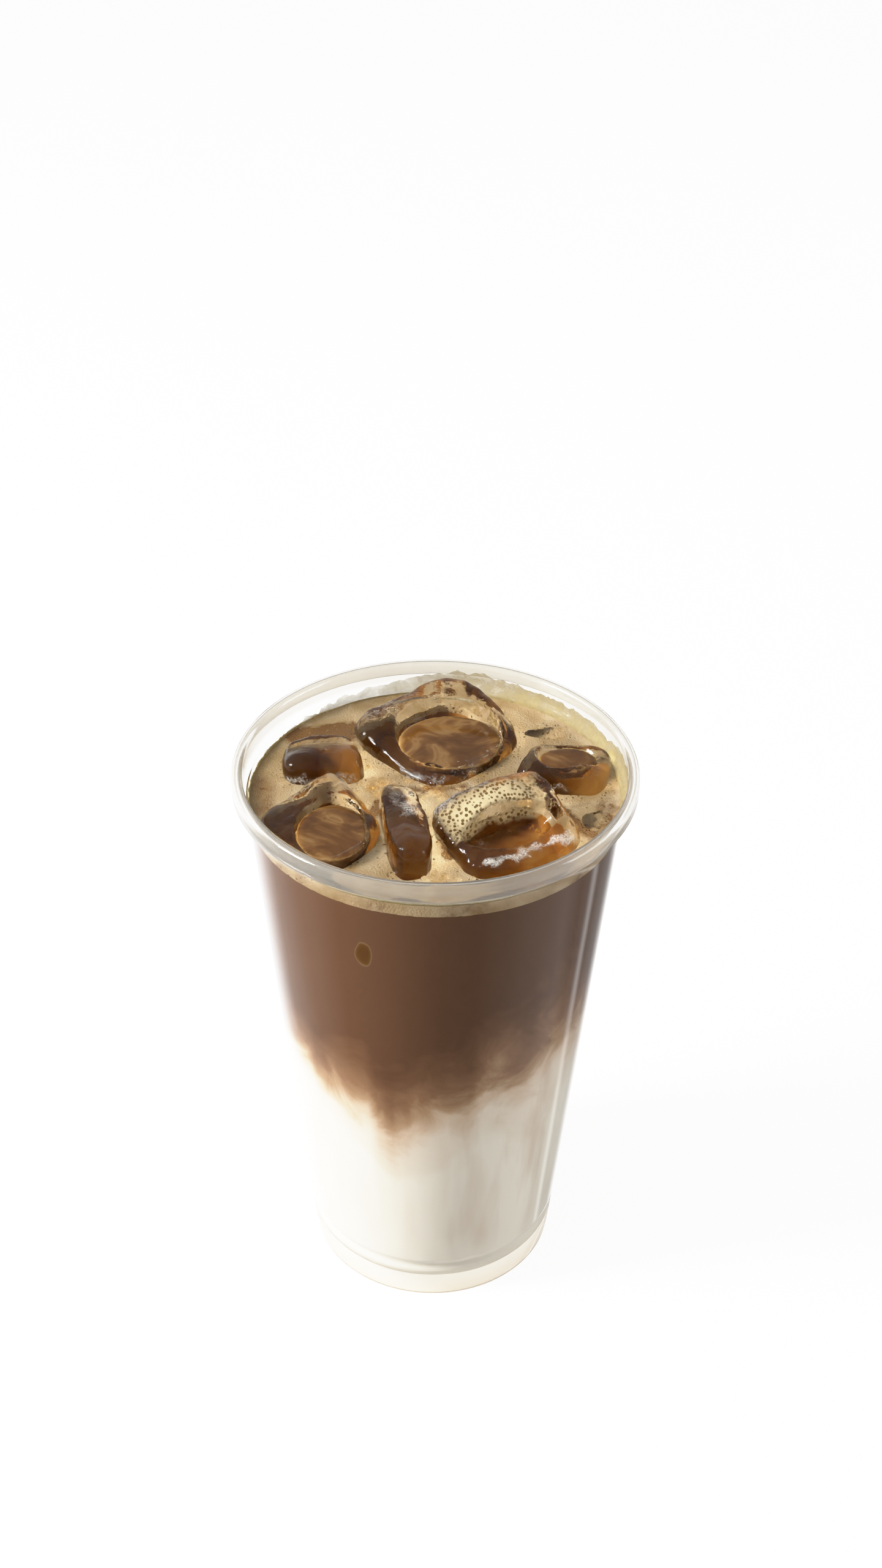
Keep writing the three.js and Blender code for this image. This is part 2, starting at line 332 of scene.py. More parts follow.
def thickened(shape, thickness):
    """Gives a sheet a thickness on the side that its faces point to, and closes its edges."""
    return modified(holder(shape), [("SOLIDIFY", {"thickness": thickness, "offset": 1.0})])


def largest_body(shape):
    """Keeps the largest of a shape's separate bodies."""
    left = set(shape.verts)
    bodies = []
    while left:
        body, edge = set(), [left.pop()]
        while edge:
            corner = edge.pop()
            body.add(corner)
            near = {link.other_vert(corner) for link in corner.link_edges} & left
            left -= near
            edge.extend(near)
        bodies.append(body)
    bodies.sort(key=len)
    for body in bodies[:-1]:
        bmesh.ops.delete(shape, geom=list(body), context="VERTS")
    return shape


def piece(name, shape, materials, stands_for=(), paint=None):
    """A finished piece: the shape in metres, smooth but for its sharp edges, riding on the cup. paint names
    attributes, each a function of a corner's place."""
    mesh = bpy.data.meshes.new(name)
    painted = {key: [value(corner.co) for corner in shape.verts] for key, value in (paint or {}).items()}
    bmesh.ops.scale(shape, vec=Vector((MM, MM, MM)), verts=shape.verts)
    for face in shape.faces:
        face.smooth = True
    shape.to_mesh(mesh)
    shape.free()
    mesh.set_sharp_from_angle(angle=math.radians(50))
    for key, values in painted.items():
        mesh.attributes.new(key, "FLOAT", "POINT").data.foreach_set("value", values)
    for material in materials:
        mesh.materials.append(material)
    made = bpy.data.objects.new(name, mesh)
    bpy.context.scene.collection.objects.link(made)
    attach(made, "root")
    if stands_for:
        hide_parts(*stands_for)
    return made


def let_lamps_in(tree, body, tint):
    """A clear body's shader, clear to lamp light too, so that what is inside it is lit."""
    clear = node(tree, "BsdfTransparent", {"Color": linear(tint)})
    shadow = node(tree, "LightPath").outputs["Is Shadow Ray"]
    return node(tree, "MixShader", {0: shadow, 1: body, 2: clear})


def pet_material():
    """Thermoformed clear PET: glossy and nearly colourless, hazy and greyer where it is thick, with a faint drawn
    waviness."""
    material, tree, surface = blank("clear_thermoformed_pet")
    thick = node(tree, "Attribute", attribute_name="thick").outputs["Fac"]
    foot = node(tree, "Attribute", attribute_name="foot").outputs["Fac"]
    wall = node(tree, "Mix", {"Factor": thick, "A": linear("#f1f1ee"), "B": linear("#e0dcd4")}, data_type="RGBA")
    tone = node(tree, "Mix", {"Factor": foot, "A": wall.outputs["Result"], "B": linear("#dfd3c1")}, data_type="RGBA")
    rough = node(tree, "MapRange", {"Value": thick, "To Min": 0.025, "To Max": 0.1})
    hazy = node(tree, "Math", {0: foot, 1: 4.0, 2: thick}, operation="MULTIPLY_ADD")
    clear = node(tree, "MapRange", {"Value": hazy, "From Max": 5.0, "To Min": 1.0, "To Max": 0.8})
    drawn = node(tree, "Mapping", {"Vector": place_mm(tree), "Scale": (1 / 9, 1 / 9, 1 / 40)})
    waves = node(tree, "TexNoise", {"Vector": drawn, "Scale": 1.0, "Detail": 1.0})
    bump = node(tree, "Bump", {"Height": waves, "Distance": 0.05 * MM})
    body = node(tree, "BsdfPrincipled", {
        "Base Color": tone.outputs["Result"], "Roughness": rough, "IOR": 1.55, "Transmission Weight": clear,
        "Normal": bump,
    })
    tree.links.new(let_lamps_in(tree, body, "#f4f4f2").outputs[0], surface)
    return material


def ice_material():
    """Clear water ice as it melts: wet, with fine ripples that bend what lies under it, and white frost in patches."""
    material, tree, surface = blank("clear_melting_ice")
    place = place_mm(tree)
    ripples = node(tree, "TexNoise", {"Vector": place, "Scale": 1 / 2.2, "Detail": 3.0, "Distortion": 0.8})
    crinkle = node(tree, "TexNoise", {"Vector": place, "Scale": 1 / 0.7, "Detail": 4.0, "Distortion": 1.2})
    frost = node(tree, "Attribute", attribute_name="frost").outputs["Fac"]
    broken = node(tree, "Math", {0: frost, 1: crinkle}, operation="MULTIPLY")
    cloud = node(tree, "MapRange", {"Value": broken, "From Min": 0.17, "From Max": 0.45, "To Min": 0.0, "To Max": 0.7})
    clear = node(tree, "Math", {0: 1.0, 1: cloud}, operation="SUBTRACT")
    rough = node(tree, "Math", {0: cloud, 1: 0.6, 2: 0.015}, operation="MULTIPLY_ADD")
    swell = node(tree, "Bump", {"Height": ripples, "Distance": 0.2 * MM})
    gritty = node(tree, "MapRange", {"Value": frost, "To Min": 0.07, "To Max": 1.0})
    grit = node(tree, "Bump", {"Height": crinkle, "Strength": gritty, "Distance": 0.22 * MM, "Normal": swell})
    body = node(tree, "BsdfPrincipled", {
        "Base Color": linear("#f2eee4"), "Roughness": rough, "IOR": 1.31, "Transmission Weight": clear, "Normal": grit,
    })
    tree.links.new(let_lamps_in(tree, body, "#f4f2ea").outputs[0], surface)
    return material


def latte_material():
    """Milk with coffee over it: opaque and matt behind the wall, where coffee sinks into the milk in soft clouds and
    hangs down in thin streaks. One corner of ice touches the wall and shows as a small amber oval."""
    material, tree, surface = blank("layered_milk_and_coffee")
    place = place_mm(tree)
    above = node(tree, "Attribute", attribute_name="above_border").outputs["Fac"]
    streaky = node(tree, "Attribute", attribute_name="streaks").outputs["Fac"]
    clouds = node(tree, "TexNoise", {"Vector": place, "Scale": 1 / 13, "Detail": 6.0, "Roughness": 0.58,
                                     "Distortion": 0.7})
    lift = node(tree, "Math", {0: clouds, 1: 3.4, 2: -1.7}, operation="MULTIPLY_ADD")
    height = node(tree, "Math", {0: above, 1: lift}, operation="ADD")
    share = node(tree, "MapRange", {"Value": height, "From Min": -3.0, "From Max": 3.0})
    blend = node(tree, "ValToRGB", {"Fac": share}, stops=(
        (0.0, "#d9d3c8"), (0.26, "#d1c6b8"), (0.4, "#c0ab96"), (0.5, "#a08468"), (0.62, "#82634b"),
        (0.8, "#694c37"), (1.0, "#5a3f2d"),
    ))
    hanging = node(tree, "Mapping", {"Vector": place, "Scale": (1 / 6, 1 / 6, 1 / 45)})
    threads = node(tree, "TexNoise", {"Vector": hanging, "Scale": 1.0, "Detail": 3.0, "Distortion": 0.3})
    strength = node(tree, "MapRange", {"Value": threads, "From Min": 0.46, "From Max": 0.78, "To Max": 0.6})
    in_milk = node(tree, "MapRange", {"Value": share, "From Min": 0.35, "From Max": 0.5, "To Min": 1.0, "To Max": 0.0})
    hung = node(tree, "Math", {0: strength, 1: in_milk}, operation="MULTIPLY")
    amount = node(tree, "Math", {0: hung, 1: streaky}, operation="MULTIPLY")
    streaked = node(tree, "Mix", {"Factor": amount, "A": blend, "B": linear("#ac8f76")}, data_type="RGBA")
    beside_ice = node(tree, "Mapping", {
        "Vector": place, "Location": [-at / reach for at, reach in zip(ICE_MARK_AT, ICE_MARK_REACH)],
        "Scale": [1 / reach for reach in ICE_MARK_REACH],
    })
    oval = node(tree, "VectorMath", {0: beside_ice}, operation="LENGTH").outputs["Value"]
    dented = node(tree, "TexNoise", {"Vector": place, "Scale": 1 / 2.5, "Detail": 2.0})
    uneven = node(tree, "Math", {0: dented, 1: 0.3, 2: oval}, operation="MULTIPLY_ADD")
    touched = node(tree, "ValToRGB", {"Fac": uneven}, stops=((0.6, "#4c3010"), (0.8, "#553b18"), (0.9, "#755e46")))
    touching = node(tree, "MapRange", {"Value": uneven, "From Min": 0.86, "From Max": 0.96,
                                       "To Min": 0.85, "To Max": 0.0})
    colour = node(tree, "Mix", {"Factor": touching, "A": streaked.outputs["Result"], "B": touched}, data_type="RGBA")
    body = node(tree, "BsdfPrincipled", {
        "Base Color": colour.outputs["Result"], "Roughness": 0.5, "IOR": 1.34, "Specular IOR Level": 0.1,
    })
    tree.links.new(body.outputs[0], surface)
    return material


def crema_material():
    """Coffee crema: a pale tan foam of bubbles too fine to see, with coarser ones and dark pits beside the ice, torn
    open in places where the wet coffee shows. Two of those dark patches are painted shade: the front-right cube's
    shadow at its right, and shade along the left wall."""
    material, tree, surface = blank("coffee_crema_foam")
    place = place_mm(tree)
    near = node(tree, "Attribute", attribute_name="near_ice").outputs["Fac"]
    drift = node(tree, "TexNoise", {"Vector": place, "Scale": 1 / 9, "Detail": 5.0, "Distortion": 0.6})
    tone = node(tree, "ValToRGB", {"Fac": drift}, stops=(
        (0.3, "#836a45"), (0.5, "#988160"), (0.68, "#a99678"),
    ))
    cells = node(tree, "TexVoronoi", {"Vector": place, "Scale": 1 / 1.1})
    pit = node(tree, "MapRange", {"Value": cells.outputs["Distance"], "From Min": 0.16, "From Max": 0.34,
                                  "To Min": 1.0, "To Max": 0.0})
    some = node(tree, "MapRange", {"Value": cells.outputs["Color"], "From Min": 0.4, "From Max": 0.6})
    chosen = node(tree, "Math", {0: pit, 1: some}, operation="MULTIPLY")
    pitted = node(tree, "Math", {0: chosen, 1: near}, operation="MULTIPLY")
    old = node(tree, "Attribute", attribute_name="stained").outputs["Fac"]
    stained = node(tree, "Mix", {"Factor": old, "A": tone, "B": linear("#655233")}, data_type="RGBA")
    foam = node(tree, "Mix", {"Factor": pitted, "A": stained.outputs["Result"], "B": linear("#5c4222")},
                data_type="RGBA")
    # Open coffee where the crema is torn, and two streaks of painted shade in the same dark brown
    bare_and_shade = node(tree, "Attribute", attribute_name="bare_and_shade").outputs["Fac"]
    ragged = node(tree, "TexNoise", {"Vector": place, "Scale": 1 / 2.4, "Detail": 5.0, "Distortion": 0.8})
    torn_and_shaded = node(tree, "Math", {0: bare_and_shade, 1: ragged}, operation="MULTIPLY")
    open_and_shaded_share = node(tree, "MapRange", {"Value": torn_and_shaded, "From Min": 0.12, "From Max": 0.34, "To Max": 0.92})
    colour = node(tree, "Mix", {"Factor": open_and_shaded_share, "A": foam.outputs["Result"], "B": linear("#5c3e1e")},
                  data_type="RGBA")
    bare_and_shade_roughness = node(tree, "MapRange", {"Value": open_and_shaded_share, "To Min": 0.55, "To Max": 0.2})
    froth = node(tree, "TexVoronoi", {"Vector": place, "Scale": 1 / 0.5})
    fine = node(tree, "Bump", {"Height": froth.outputs["Distance"], "Distance": 0.1 * MM})
    coarse = node(tree, "Bump", {"Height": pitted, "Distance": 0.3 * MM, "Normal": fine}, invert=True)
    body = node(tree, "BsdfPrincipled", {
        "Base Color": colour.outputs["Result"], "Roughness": bare_and_shade_roughness, "IOR": 1.34, "Normal": coarse,
    })
    tree.links.new(body.outputs[0], surface)
    return material


def pool_material():
    """Coffee that stands in the hollows of the ice: glossy, milky brown, with swirls of cream and a paler edge."""
    material, tree, surface = blank("coffee_with_cream")
    place = place_mm(tree)
    edge = node(tree, "Attribute", attribute_name="edge").outputs["Fac"]
    swirl = node(tree, "TexNoise", {"Vector": place, "Scale": 1 / 13, "Detail": 3.0, "Distortion": 2.2})
    tone = node(tree, "ValToRGB", {"Fac": swirl}, stops=(
        (0.3, "#44280d"), (0.45, "#503213"), (0.56, "#60401e"), (0.66, "#785832"), (0.76, "#604120"),
    ))
    rim = node(tree, "MapRange", {"Value": edge, "From Min": 0.93, "From Max": 0.99, "To Max": 0.45})
    colour = node(tree, "Mix", {"Factor": rim, "A": tone, "B": linear("#94794f")}, data_type="RGBA")
    waves = node(tree, "TexNoise", {"Vector": place, "Scale": 1 / 5, "Detail": 1.0})
    bump = node(tree, "Bump", {"Height": waves, "Distance": 0.15 * MM})
    body = node(tree, "BsdfPrincipled", {
        "Base Color": colour.outputs["Result"], "Roughness": 0.12, "IOR": 1.34, "Normal": bump,
    })
    tree.links.new(body.outputs[0], surface)
    return material


def depths_material():
    """Black coffee where ice lies in it: a matt amber to nearly black that shows through the ice."""
    material, tree, surface = blank("coffee_under_ice")
    place = place_mm(tree)
    drift = node(tree, "TexNoise", {"Vector": place, "Scale": 1 / 10, "Detail": 4.0, "Distortion": 0.8})
    tone = node(tree, "ValToRGB", {"Fac": drift}, stops=(
        (0.3, "#5c340c"), (0.45, "#744616"), (0.58, "#7d5425"), (0.75, "#85602f"),
    ))
    body = node(tree, "BsdfPrincipled", {"Base Color": tone, "Roughness": 0.6, "IOR": 1.34, "Specular IOR Level": 0.0})
    tree.links.new(body.outputs[0], surface)
    return material


def film_material():
    """Foam that has dried on the plastic: a patchy see-through film, thicker in rings and runs."""
    material, tree, surface = blank("dried_foam_film")
    place = place_mm(tree)
    body_share = node(tree, "Attribute", attribute_name="thickness").outputs["Fac"]
    patches = node(tree, "TexNoise", {"Vector": place, "Scale": 1 / 3.5, "Detail": 6.0, "Roughness": 0.65,
                                      "Distortion": 0.6})
    cover = node(tree, "MapRange", {"Value": patches, "From Min": 0.3, "From Max": 0.7, "To Min": 0.55})
    alpha = node(tree, "Math", {0: cover, 1: body_share}, operation="MULTIPLY", use_clamp=True)
    tone = node(tree, "Mix", {"Factor": patches, "A": linear("#8f7a4e"), "B": linear("#a0946d")}, data_type="RGBA")
    body = node(tree, "BsdfPrincipled", {
        "Base Color": tone.outputs["Result"], "Roughness": 0.5, "IOR": 1.3, "Alpha": alpha, "Specular IOR Level": 0.2,
    })
    tree.links.new(body.outputs[0], surface)
    return material


def net_material():
    """Foam that clings to the ice: a pale net of froth round bubbles that have burst."""
    material, tree, surface = blank("clinging_foam_net")
    place = place_mm(tree)
    body_share = node(tree, "Attribute", attribute_name="thickness").outputs["Fac"]
    cells = node(tree, "TexVoronoi", {"Vector": place, "Scale": 1 / 1.0, "Randomness": 0.85})
    hole = node(tree, "MapRange", {"Value": cells.outputs["Distance"], "From Min": 0.3, "From Max": 0.48})
    alpha = node(tree, "MapRange", {"Value": hole, "To Min": 0.45, "To Max": 0.95})
    cover = node(tree, "Math", {0: alpha, 1: body_share}, operation="MULTIPLY")
    tone = node(tree, "Mix", {"Factor": hole, "A": linear("#7d6438"), "B": linear("#d2bc90")}, data_type="RGBA")
    bump = node(tree, "Bump", {"Height": hole, "Distance": 0.2 * MM})
    body = node(tree, "BsdfPrincipled", {
        "Base Color": tone.outputs["Result"], "Roughness": 0.4, "IOR": 1.34, "Alpha": cover, "Normal": bump,
    })
    tree.links.new(body.outputs[0], surface)
    return material


def bubble_material():
    """Bubbles on the crema: a clear wet skin that darkens at its edge and catches the light."""
    material, tree, surface = blank("foam_bubble_skin")
    thin = node(tree, "TexNoise", {"Vector": place_mm(tree), "Scale": 1 / 0.6})
    tint = node(tree, "Mix", {"Factor": thin, "A": linear("#faf4e6"), "B": linear("#fffdf8")}, data_type="RGBA")
    body = node(tree, "BsdfPrincipled", {
        "Base Color": tint.outputs["Result"], "Roughness": 0.04, "IOR": 1.13, "Transmission Weight": 1.0,
    })
    tree.links.new(let_lamps_in(tree, body, "#fffaf0").outputs[0], surface)
    return material


def table_material():
    """A plain white table top, bright all over, that shows only a faint shadow."""
    material, tree, surface = blank("matt_white_table")
    drift = node(tree, "TexNoise", {"Vector": place_mm(tree), "Scale": 1 / 200, "Detail": 2.0})
    tone = node(tree, "Mix", {"Factor": drift, "A": linear("#bcbcbc"), "B": linear("#c4c4c4")}, data_type="RGBA")
    body = node(tree, "BsdfPrincipled", {
        "Base Color": tone.outputs["Result"], "Roughness": 0.9, "Specular IOR Level": 0.0,
        "Emission Color": linear("#ffffff"), "Emission Strength": 1.15,
    })
    tree.links.new(body.outputs[0], surface)
    return material


def cup_outline():
    """The cup's section, from the middle of its underside round the foot, wall and rim to its floor."""
    foot_inside = FOOT_RADIUS - FOOT_WIDTH - FOOT_ROUND
    underside = FLOOR - WALL
    heel = [HEEL + HEEL_HALF * (i / 4 - 1) for i in range(9)]
    lip_inside = RIM_RADIUS - WALL
    throat = RIM_RADIUS - RIM_WIDTH
    rim_foot = CUP_HEIGHT - RIM_DROP
    crown = CUP_HEIGHT - RIM_WIDTH / 2
    middle = RIM_RADIUS - RIM_WIDTH / 2
    outer_throat = throat + WALL
    inner_floor = wall_radius(FLOOR) - WALL
    straight = [HEEL + 1.5 * HEEL_HALF + i * WALL_STEP for i in range(int((SHOULDER - HEEL) / WALL_STEP))]
    return [
        (0, underside),
        *bend((foot_inside - FLOOR_ROUND, underside), (foot_inside, underside), (foot_inside, underside - FLOOR_ROUND)),
        *bend((foot_inside + FOOT_ROUND, 0.6), (foot_inside + FOOT_ROUND, 0), (FOOT_RADIUS - FOOT_WIDTH + 0.5, 0), 3),
        *bend((FOOT_RADIUS - FOOT_ROUND, 0), (FOOT_RADIUS, 0), (wall_radius(FOOT_ROUND), FOOT_ROUND)),
        *((wall_radius(z) - heel_groove(z), z) for z in heel + straight),
        *bend((wall_radius(SHOULDER), SHOULDER), (outer_throat, rim_foot - 1), (outer_throat, rim_foot)),
        *bend((outer_throat, crown - WALL), (outer_throat, CUP_HEIGHT - WALL), (middle, CUP_HEIGHT - WALL)),
        *bend((middle, CUP_HEIGHT - WALL), (lip_inside, CUP_HEIGHT - WALL), (lip_inside, crown - WALL))[1:],
        *bend((lip_inside, rim_foot + 0.3), (lip_inside + WALL / 2, rim_foot - 0.3), (RIM_RADIUS, rim_foot + 0.3), 4),
        *bend((RIM_RADIUS, crown), (RIM_RADIUS, CUP_HEIGHT), (middle, CUP_HEIGHT)),
        *bend((middle, CUP_HEIGHT), (throat, CUP_HEIGHT), (throat, crown))[1:],
        *bend((throat, rim_foot), (throat, rim_foot - 1), (wall_radius(SHOULDER) - WALL, SHOULDER)),
        *((wall_radius(z) - heel_groove(z) - WALL, z) for z in reversed(heel + straight)),
        *bend((inner_floor + 0.2, FLOOR + FLOOR_ROUND), (inner_floor, FLOOR), (inner_floor - FLOOR_ROUND, FLOOR)),
        (0, FLOOR),
    ]


def inner_radius(z):
    """The inside of the wall at a height."""
    throat = RIM_RADIUS - RIM_WIDTH
    share = min(1.0, max(0.0, (z - SHOULDER) / (CUP_HEIGHT - RIM_DROP - SHOULDER)))
    below = wall_radius(min(z, SHOULDER)) - WALL
    return below + (throat - below) * share * (2 - share)


def drink_radius(z):
    """How far the drink reaches: into the wall, and just into the heel's groove and the floor's rounded corner."""
    corner = max(0.0, 1 - (z - FLOOR) / FLOOR_ROUND)
    return wall_radius(z) - heel_groove(z) - WALL + SOAK - FLOOR_ROUND * 0.6 * corner ** 2


def border_height(share, angle):
    """The uneven border between milk and coffee, as the solids have it."""
    return MILK_LEVEL + share * sum(size * math.sin(number * angle + turn) for size, number, turn in LOBES)


def above_border(place):
    """How far a place is above the change from milk to coffee, in depths of that change."""
    at = from_front(place)
    solid = border_height(1, math.atan2(place.y, place.x))
    front = min(1.0, max(0.0, (110 - abs(at)) / 30))
    border = solid + (between(BORDER, at) - solid) * front
    return (place.z - border) / between(BORDER_DEPTH, at)


def streaks(place):
    """How strongly coffee hangs in threads in the milk: at the right, and less all round."""
    right = min(1.0, max(0.0, 1 - abs(from_front(place) - 38) / 42))
    low = min(1.0, max(0.0, (place.z - 12) / 12))
    return low * (0.25 + 0.75 * right)


def drink_layer(low, high, side_steps, disc_steps=10):
    """A layer of drink between two heights, each a function of the share of the radius and the angle."""
    across = [i / disc_steps for i in range(disc_steps)]
    outline = [(r, 0.0) for r in across]
    outline += [(1.0, i / side_steps) for i in range(side_steps)]
    outline += [(r, 1.0) for r in (1.0, *reversed(across))]
    shape = turned(outline)
    for corner in shape.verts:
        share = math.hypot(corner.co.x, corner.co.y)
        angle = math.atan2(corner.co.y, corner.co.x)
        bottom, top = low(share, angle), high(share, angle)
        z = bottom + (top - bottom) * corner.co.z
        reach = drink_radius(z)
        corner.co = (corner.co.x * reach, corner.co.y * reach, z)
    return shape


def crema_height(share, angle):
    """The top of the crema: nearly level, with low swells, and drawn up at the wall."""
    spot = Vector((share * math.cos(angle), share * math.sin(angle), 0)) * RIM_RADIUS
    return CREMA_TOP + CREMA_SWELL * noise.noise(spot / 6) + MENISCUS * max(0.0, (share - 0.94) / 0.06) ** 2


def ice_shape(name, seed):
    """An ice cube with rounded edges and the low waves that melting leaves."""
    shape = softened(node_shape("ice_" + name), ICE_VOXEL, ICE_SMOOTHING)
    shift = Vector((seed * 7.1, seed * 3.7, 0))
    moved_along_normals(shape, lambda corner: sum(size * noise.noise(corner.co / length + shift)
                                                  for size, length in ICE_WAVES))
    return shape


def frost_on(cube):
    """How thick the frost is at a place on a cube."""
    streaks_here = [streak for name, *streak in FROST if name == cube]

    def frost(place):
        place = place + 2.2 * noise.noise_vector(place / 3)
        return max((thick * inside_streak(place, start, end, radius) ** 0.5
                    for start, end, radius, thick in streaks_here), default=0.0)
    return frost


def streaked(table):
    """How strongly a table's streaks mark a place on the crema."""
    return lambda place: max(share * inside_streak(place.to_2d(), start, end, radius) ** 0.5
                             for start, end, radius, share in table)


def thick_plastic(place):
    """Where the cup's plastic is thick and hazy: at the rim."""
    return min(1.0, max(0.0, (place.z - CUP_HEIGHT + RIM_DROP + 1.2) / 1.2))


def foot_share(place):
    """The foot, which takes on the colour of the milk above it."""
    return min(1.0, max(0.0, (FLOOR + 1.5 - place.z) / 3))


def cut_by(shape, material, cutters, cut_material):
    """A layer with the ice cut out of it, whose cut faces take a material of their own."""
    group = bpy.data.collections.new("cutters")
    bpy.context.scene.collection.children.link(group)
    for cutter in cutters:
        cutter.data.materials[0] = cut_material
        group.objects.link(cutter)
    result = modified(holder(shape, material), [
        ("BOOLEAN", {"operation": "DIFFERENCE", "operand_type": "COLLECTION", "collection": group,
                     "solver": "MANIFOLD", "material_mode": "TRANSFER"}),
    ])
    bpy.data.collections.remove(group)
    return largest_body(result)


def edge_share(shape):
    """How near a place on a pool is to its edge, from 0 in the middle to 1."""
    middle = sum((corner.co for corner in shape.verts), Vector()) / len(shape.verts)
    farthest = {}

    def bearing(place):
        return round(math.degrees(math.atan2(place.y - middle.y, place.x - middle.x)) / 10) % 36

    for corner in shape.verts:
        way = bearing(corner.co)
        farthest[way] = max(farthest.get(way, 0.0), (corner.co - middle).to_2d().length)
    top = max(corner.co.z for corner in shape.verts)
    return lambda place: (place - middle).to_2d().length / farthest[bearing(place)] - max(0.0, top - place.z - 0.4)


PET = pet_material()
ICE = ice_material()
LATTE = latte_material()
CREMA = crema_material()
DEPTHS = depths_material()
POOL = pool_material()
FILM_COAT = film_material()
NET = net_material()
BUBBLE = bubble_material()

latte_paint = {"above_border": above_border, "streaks": streaks}
piece("cup_wall", turned(cup_outline(), 256), [PET], ["cup"], {"thick": thick_plastic, "foot": foot_share})
piece("milk_layer", drink_layer(lambda *_: FLOOR - SOAK, border_height, 60), [LATTE], ["milk"], latte_paint)

cubes = {name: ice_shape(name, seed) for seed, name in enumerate(CUBES)}
trees = [BVHTree.FromBMesh(cube) for cube in cubes.values()]
cutters = []
for name in CUBES:
    core = cubes[name].copy()
    moved_along_normals(core, -ICE_SOAK)
    well = WELL_FLOOR.get(name, DEEP_WELL)
    for corner in core.verts:
        corner.co.z = max(corner.co.z, well + (corner.co.z - well) * WELL_SHARE)
    cutters.append(holder(core, DEPTHS))


def ice_distance(place):
    """How far a place is from the ice, below nought inside it."""
    def one(tree):
        near, normal, _, distance = tree.find_nearest(place)
        return distance if (place - near).dot(normal) > 0 else -distance
    return min(one(tree) for tree in trees)


def near_ice(place):
    """How much coarse foam there is at a place on the crema: most beside the ice."""
    return min(1.0, max(0.0, 1 - ice_distance(place) / 4))


coffee = drink_layer(border_height, lambda *_: CREMA_BOTTOM + 0.1, 50, 40)
crema = drink_layer(lambda *_: CREMA_BOTTOM, crema_height, 3, 70)
piece("coffee_layer", cut_by(coffee, LATTE, cutters, DEPTHS), [LATTE, DEPTHS], ["coffee"], latte_paint)
piece("crema_layer", cut_by(crema, CREMA, cutters, CREMA), [CREMA], ["crema"],
      {"near_ice": near_ice, "bare_and_shade": streaked(BARE_AND_SHADE), "stained": streaked(STAINED)})
for cutter in cutters:
    bpy.data.objects.remove(cutter)

# Bubbles: small ones along the ice, and clusters of large ones
dice = random.Random(11)
bubbles = bmesh.new()


def blow(spot, size):
    """Adds a bubble."""
    bmesh.ops.create_uvsphere(bubbles, u_segments=8, v_segments=6, radius=size, matrix=Matrix.Translation(spot))


small = 0
while small < SMALL_BUBBLES:
    spot = Vector((dice.uniform(-44, 44), dice.uniform(-44, 44), CREMA_TOP))
    size = SMALL_SIZE[0] + SMALL_SIZE[1] * dice.random() ** 3
    if spot.to_2d().length < BUBBLE_REACH and 0.1 < ice_distance(spot) < 0.3 + 2.2 * dice.random() ** 2:
        blow(spot, size)
        small += 1
for middle, spread, count in CLUSTERS:
    for _ in range(count):
        away = Vector((dice.gauss(0, spread), dice.gauss(0, spread), 0))
        size = LARGE_SIZE[0] + LARGE_SIZE[1] * dice.random() ** 2
        spot = Vector((*middle, CREMA_TOP)) + away
        if ice_distance(spot) > -0.3:
            blow(spot + Vector((0, 0, 0.3 * size)), size)
piece("crema_bubbles", bubbles, [BUBBLE])

# Foam that has dried on the wall above the crema
film = turned([(1.0, i / FILM_ROWS) for i in range(FILM_ROWS + 1)], FILM_ROUND)
for corner in film.verts:
    at = from_front(corner.co)
    ragged = FILM_RAGGED * noise.fractal(corner.co.to_2d().to_3d() * 14, 0.6, 2.0, 5)
    top = max(CREMA_TOP + 0.2, between(FILM, at) + ragged)
    z = FILM_FOOT + (top - FILM_FOOT) * corner.co.z
    corner.co = (corner.co.to_2d() * (inner_radius(z) - FILM_GAP)).to_3d() + Vector((0, 0, z))


def film_thickness(place):
    """The film is thickest at its foot and at the sides, and thins out to its ragged edge."""
    at = from_front(place)
    share = (place.z - CREMA_TOP) / max(0.5, between(FILM, at) - CREMA_TOP)
    return between(FILM_COVER, at) * min(1.0, max(0.0, 1.5 - 0.8 * share))


bmesh.ops.recalc_face_normals(film, faces=film.faces)
bmesh.ops.reverse_faces(film, faces=film.faces)
piece("dried_foam_on_wall", thickened(film, FILM_THICKNESS), [FILM_COAT],
      paint={"thickness": film_thickness})


def net_thickness(place):
    """The net thins out at its edges and ends."""
    at = Matrix.Rotation(math.radians(-NET_TURN), 2) @ (place.to_2d() - Vector(NET_MIDDLE))
    out = math.hypot(at.x / NET_RADII[0], at.y / NET_RADII[1])
    edges = min((out - NET_BAND[0]) / 0.1, (NET_BAND[1] - out) / 0.6)
    ends = min((at.x - NET_ENDS[0]) / 4, (NET_ENDS[1] - at.x) / 9, at.y / 2)
    return min(1.0, max(0.0, min(edges, ends)))


# Foam net along the back edge of the empty hollow
net = cubes["front_right"].copy()
off = [face for face in net.faces if face.normal.z < -0.1 or net_thickness(face.calc_center_median()) == 0]
bmesh.ops.delete(net, geom=off, context="FACES")
moved_along_normals(net, NET_LIFT)
piece("foam_net_on_ice", thickened(net, FILM_THICKNESS), [NET], paint={"thickness": net_thickness})

for name in CUBES:
    piece("ice_cube_" + name, cubes[name], [ICE], ["ice_" + name], {"frost": frost_on(name)})

for name in POOLS:
    pool = softened(node_shape("pool_" + name), POOL_VOXEL, POOL_SMOOTHING)
    low, high = (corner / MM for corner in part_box("pool_" + name))
    grown = Vector((1 + 2 * POOL_SOAK / (high.x - low.x), 1 + 2 * POOL_SOAK / (high.y - low.y), 1))
    bmesh.ops.scale(pool, vec=grown, verts=pool.verts, space=Matrix.Translation((low + high) / -2))
    piece("coffee_pool_" + name, pool, [POOL], ["pool_" + name], {"edge": edge_share(pool)})

